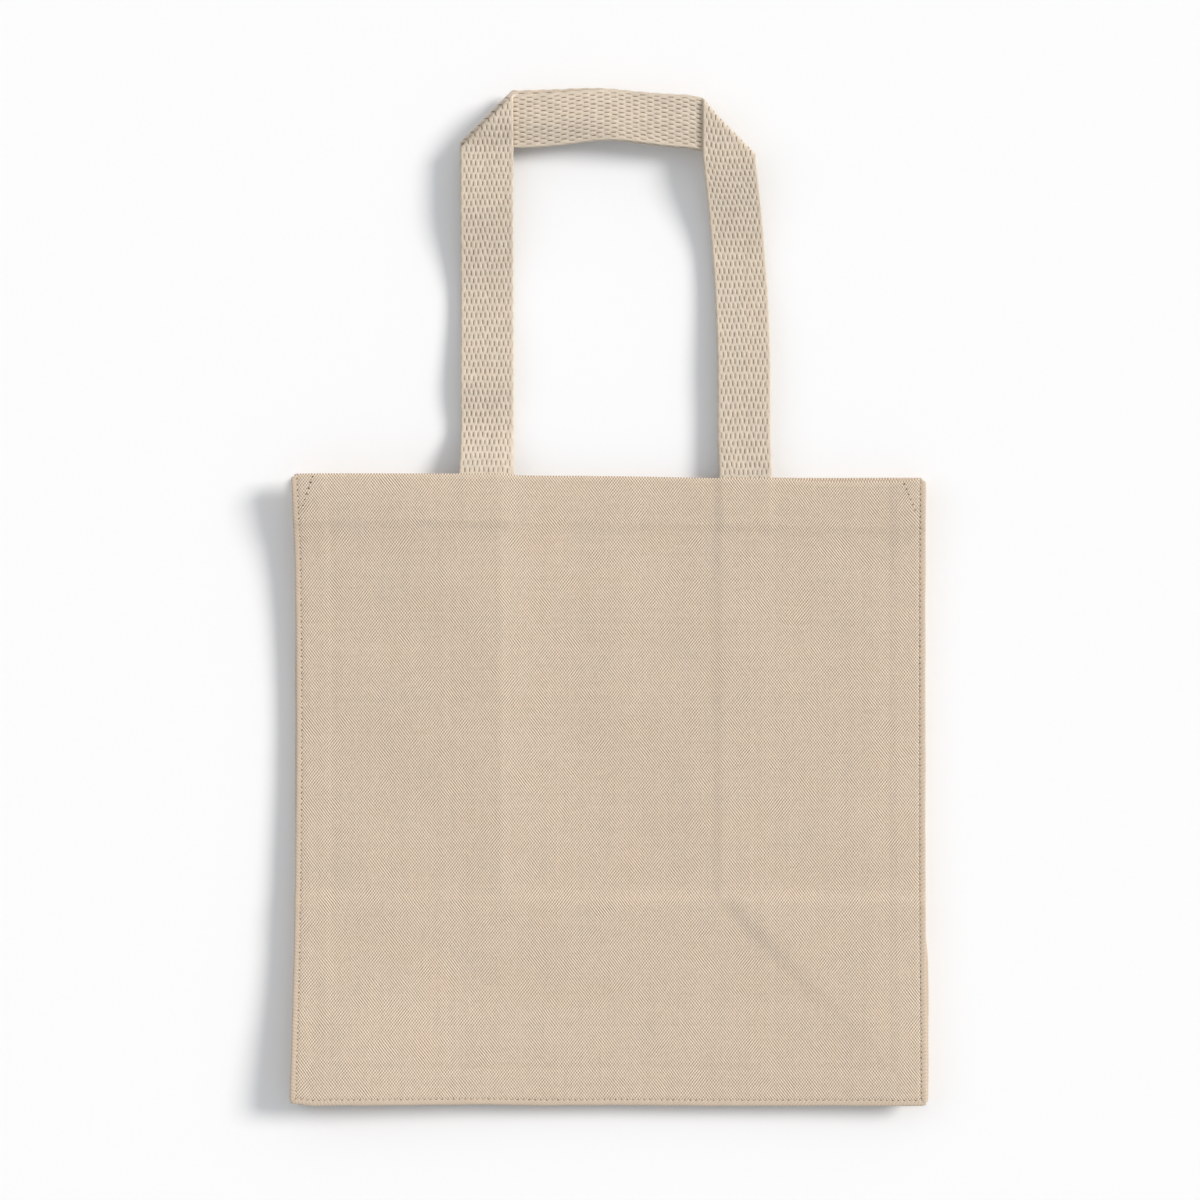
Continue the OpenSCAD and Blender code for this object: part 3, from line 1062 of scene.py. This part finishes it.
def floor_material():
    """Plain white paper."""
    n = Nodes("floor")
    position = n.node("NewGeometry", output="Position")
    paper = n.noise(position, 40.0, 2.0)
    colour = n.scaled(FLOOR_WHITE, n.plus(n.times(paper, 0.004), 1.0))
    return n.finish(colour, 0.9)


# ------ assembly

canvas = canvas_material("canvas", 1.0)
# The seam folds' canvas has a quarter of the painted weave shade and highlight.
canvas_fold = canvas_material("canvas_fold", 0.25)
webbing = webbing_material()
thread = thread_material()
needle_hole_shade = needle_hole_shade_material()

SIDES = ("back", "front")
HANDS = {"left": 1, "right": -1}
SEEDS = {"back": 20, "front": 10}

# Where each piece is cut from the weave's pattern, and the far end of a handle's bend span above the
# mouth.
CUT = {"panel": 23.9, "hem": 9.1, "side_seam": 5.7, "base_seam": 3.3,
       "side_gusset": 61.0, "base_gusset": 77.0, "tuck": 31.0}
HANDLE_BEND = 24


def settled(piece, nodes, body=None, bend=None):
    """Lays a piece as the cloth lies, lets it ride on its body if one is given, and hides the CAD nodes it
    stands for. bend is (body, body, start, end); nothing bends the piece, and when bend is given only its
    transform is baked first."""
    if bend:
        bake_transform(piece)
    lay(piece)
    if body:
        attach(piece, body)
    if nodes:
        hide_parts(*nodes)
    return piece


def layer_z(height, side):
    """A height given for the back's half of the stack, on either side."""
    return height if side == "back" else TOP - height


def make_side_seam(side, hand, seed):
    """A side seam's fold, with the gusset's flap where the seam is a hinge."""
    sign = HANDS[hand]
    shell = side_seam_shell(-sign, seed + sign)
    body, bend = side, None
    if side == "back" or hand == "left":
        side_sheet(shell, sign, [(1, FLAP_START, FLAP)])
        x, z = -sign * SEAM_X, layer_z(SIDE_Z, side)
        end_x = x + sign * (FLAP - BEND_SHORT)
        body, bend = None, (side, f"{hand}_gusset_{side}", (x, 0, z), (end_x, 0, z))
    piece = shell.build(f"{side}_{hand}_seam_fold", side, [canvas_fold], CUT["side_seam"] * seed)
    return settled(piece, [f"{side}_{hand}_seam"], body, bend)


def make_base_seam(side, seed):
    """The base seam's fold. The back's is a hinge, with the gusset's flap."""
    shell = base_seam_shell(seed + 5)
    body, bend = side, None
    if side == "back":
        base_sheet(shell, [(1, FLAP_START, FLAP)])
        z = layer_z(SIDE_Z, side)
        end_y = SEAM_Y + FLAP - BEND_SHORT
        body, bend = None, (side, f"base_gusset_{side}", (0, SEAM_Y, z), (0, end_y, z))
    piece = shell.build(f"{side}_base_seam_fold", side, [canvas_fold], CUT["base_seam"] * seed)
    return settled(piece, [f"{side}_base_seam"], body, bend)


def make_half(side, seed):
    """Everything sewn to one panel."""
    made = {}
    for kind, shell in (("panel", panel_shell()), ("hem", hem_shell())):
        piece = shell.build(f"{side}_{kind}_cloth", side, [canvas], CUT[kind] * seed)
        made[kind] = settled(piece, [f"{side}_{kind}"], side)
    for hand in HANDS:
        made[hand] = make_side_seam(side, hand, seed)
    made["base"] = make_base_seam(side, seed)
    rows = {"seam": seam_stitch_shell(), "corner": corner_stitch_shell(), "hem": hem_stitch_shell()}
    for kind, shell in rows.items():
        # The second material is the needle holes' painted shade.
        piece = shell.build(f"{side}_{kind}_thread", side, [thread, needle_hole_shade])
        made[f"{kind}_row"] = settled(piece, [f"{side}_{kind}_stitching"], side)
    return made


def make_handle(side):
    """The webbing of one handle, with its strap ends."""
    z = layer_z(LEG_Z, side)
    bend = (side, f"{side}_handle", (0, MOUTH - 1, z), (0, MOUTH + HANDLE_BEND, z))
    nodes = [f"{side}_handle", f"{side}_strap_end_left", f"{side}_strap_end_right"]
    piece = strap_shell(side).build(f"{side}_handle_webbing", side, [webbing])
    return settled(piece, nodes, None, bend)


def make_side_gusset(hand):
    """A side of the gusset, which bends at its crease."""
    sign = HANDS[hand]
    shell = Shell()
    front_start = FLAP if hand == "left" else PLAIN_EDGE
    side_sheet(shell, sign, [(-1, FLAP, CREASE_START), (1, CREASE_START, front_start)])
    x = -sign * (SEAM_X - FOLD_L)
    bend = (f"{hand}_gusset_back", f"{hand}_gusset_front", (x, 0, MID_Z - 0.5), (x, 0, MID_Z + 0.5))
    nodes = [f"{hand}_gusset{part}_{side}" for part in ("", "_hem") for side in SIDES]
    piece = shell.build(f"{hand}_gusset_cloth", "front", [canvas], CUT["side_gusset"])
    return settled(piece, nodes, None, bend)


def make_base_gusset():
    """The base of the gusset, which bends at its crease."""
    shell = Shell()
    base_sheet(shell, [(-1, FLAP, CREASE_START), (1, CREASE_START, PLAIN_EDGE)])
    nodes = ["base_gusset_back", "base_gusset_front"]
    bend = (*nodes, (0, CREASE_Y, MID_Z - 0.25), (0, CREASE_Y, MID_Z + 0.25))
    piece = shell.build("base_gusset_cloth", "front", [canvas], CUT["base_gusset"])
    return settled(piece, nodes, None, bend)


def make_tuck(hand, side):
    """A triangle of the gusset's cloth at a lower corner."""
    node = f"{hand}_tuck_{side}"
    piece = tuck_shell(HANDS[hand]).build(f"{node}_cloth", side, [canvas], CUT["tuck"])
    return settled(piece, [node], node)


halves = {side: make_half(side, seed) for side, seed in SEEDS.items()}
handles = {side: make_handle(side) for side in SIDES}
gussets = {hand: make_side_gusset(hand) for hand in HANDS}
base = make_base_gusset()
tucks = [make_tuck(hand, side) for hand in HANDS for side in SIDES]


# ------ floor, light and camera

def make_floor():
    """A wide sheet, just under the bag."""
    reach = 6.0
    corners_of_floor = [(-reach, -reach, 0), (reach, -reach, 0), (reach, reach, 0), (-reach, reach, 0)]
    mesh = bpy.data.meshes.new("floor")
    mesh.from_pydata(corners_of_floor, [], [(0, 1, 2, 3)])
    mesh.materials.append(floor_material())
    floor = bpy.data.objects.new("floor", mesh)
    floor.location.z = -0.0002
    bpy.context.collection.objects.link(floor)


SUN_WHITE = (1.03, 1.004, 0.98)
FILL_WHITE = (1.0, 1.0, 1.02)
SKY_WHITE = (0.95, 0.995, 1.04, 1)


def make_sun(name, toward, energy, angle, colour):
    """A light from far off, at this direction from the bag, as wide as the angle in degrees."""
    sun = bpy.data.lights.new(name, "SUN")
    sun.energy = energy
    sun.angle = math.radians(angle)
    sun.color = colour
    lamp = bpy.data.objects.new(name, sun)
    lamp.rotation_mode = "QUATERNION"
    lamp.rotation_quaternion = Vector(toward).to_track_quat("Z", "Y")
    bpy.context.collection.objects.link(lamp)


def make_light():
    """A soft window light from the upper right, two broad weak ones, and even light from all round."""
    make_sun("key", (1.3, 0.45, 1.0), 2.40, 21, SUN_WHITE)
    make_sun("broad", (0.65, 0.75, 1.0), 0.36, 80, SUN_WHITE)
    make_sun("across", (-0.8, 0.3, 1.0), 0.42, 60, FILL_WHITE)
    world = bpy.data.worlds.new("studio")
    world.use_nodes = True
    background = world.node_tree.nodes["Background"]
    background.inputs["Color"].default_value = SKY_WHITE
    background.inputs["Strength"].default_value = 0.43
    bpy.context.scene.world = world


def make_camera():
    """Straight above the bag, through a long lens, with the bag a little right of and below the middle."""
    distance = 2.4
    view_width = 0.5787
    sensor = 36
    aim = (-0.0048, -0.0007)
    camera = bpy.data.cameras.new("camera")
    camera.sensor_width = sensor
    camera.lens = sensor * distance / view_width
    camera.clip_end = 50
    eye = bpy.data.objects.new("camera", camera)
    eye.location = (*aim, distance + TOP * MM)
    bpy.context.collection.objects.link(eye)
    bpy.context.scene.camera = eye


make_floor()
make_light()
make_camera()
bpy.context.scene.view_settings.view_transform = "Standard"
